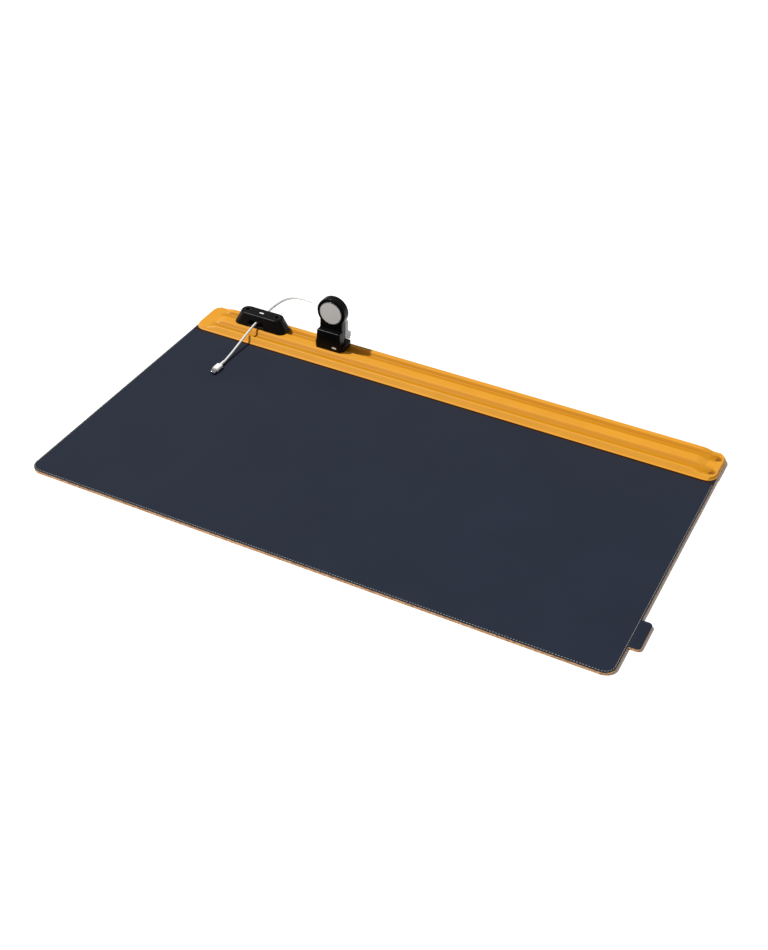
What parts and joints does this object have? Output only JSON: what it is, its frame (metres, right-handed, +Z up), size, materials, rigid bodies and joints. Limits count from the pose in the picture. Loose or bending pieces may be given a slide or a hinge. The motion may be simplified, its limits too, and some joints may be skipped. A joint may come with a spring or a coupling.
{
  "type": "charging desk mat",
  "caption": "Leather-topped desk mat with a yellow accessory rail on which a cable dock and a wireless watch-charging stand slide.",
  "frame": {"origin": "middle of the footprint of the mat with its tab, on the surface that the mat lies on", "axes": "+X along the front edge to the right, +Y from the front edge to the rail, +Z up"},
  "size_m": [0.636, 0.4302, 0.0725],
  "materials": {
    "mat_leather": "matte navy pebbled leather",
    "mat_core": "plain stiffener sheet",
    "mat_cork": "fine cork",
    "thread": "waxed thread",
    "rail": "satin moulded yellow",
    "black_plastic": "matte moulded",
    "steel": "plain strip steel",
    "tape": "adhesive tape",
    "screws": "zinc plated",
    "dock_black": "fine-textured matte black",
    "stand_black": "satin black",
    "black_rubber": "matte rubber",
    "magnets": "nickel plated",
    "puck_metal": "bead-blasted",
    "puck_white": "polished white",
    "copper": "enamelled copper wire",
    "ferrite": "sintered ferrite",
    "board": "circuit board",
    "lead_white": "soft white jacket",
    "lead_tie": "hook-and-loop strap",
    "plug_white": "moulded white",
    "plug_metal": "plated contact shell"
  },
  "bodies": {
    "mat": {"mat_leather": "mat_leather", "mat_core": "mat_core", "mat_base": "mat_cork", "edge_stitching": "thread", "rail_shell": "rail", "rail_base": "black_plastic", "rail_steel_strip": "steel", "rail_tape": "tape", "rail_screws": "screws"},
    "cable_dock": {"dock_shell": "dock_black", "dock_base": "black_plastic", "dock_magnets": "magnets", "dock_cable_grip": "black_rubber", "dock_socket_sleeves": "black_rubber", "dock_screws": "screws", "dock_pads": "black_rubber", "lead_front": "lead_white", "lead_rear": "lead_white", "lead_hank": "lead_white", "lead_tail": "lead_white", "lead_tie": "lead_tie", "lead_connector": "plug_white", "lead_connector_tip": "plug_metal", "lead_plug": "plug_white", "lead_plug_tip": "plug_metal"},
    "watch_stand": {"stand_body": "stand_black", "stand_back_cover": "stand_black", "stand_base": "black_plastic", "stand_magnets": "magnets", "stand_screws": "screws", "stand_pads": "black_rubber", "stand_cable_gland": "black_rubber", "puck_case": "puck_metal", "puck_face": "puck_white", "puck_coil": "copper", "puck_ferrite": "ferrite", "puck_magnet": "magnets", "puck_board": "board"}
  },
  "joints": [
    {"name": "dock_slide", "type": "slide", "parent": "mat", "child": "cable_dock", "axis": [1, 0, 0], "range_m": [-0.008, 0.034]},
    {"name": "stand_slide", "type": "slide", "parent": "mat", "child": "watch_stand", "axis": [1, 0, 0], "range_m": [-0.004, 0.405]}
  ]
}
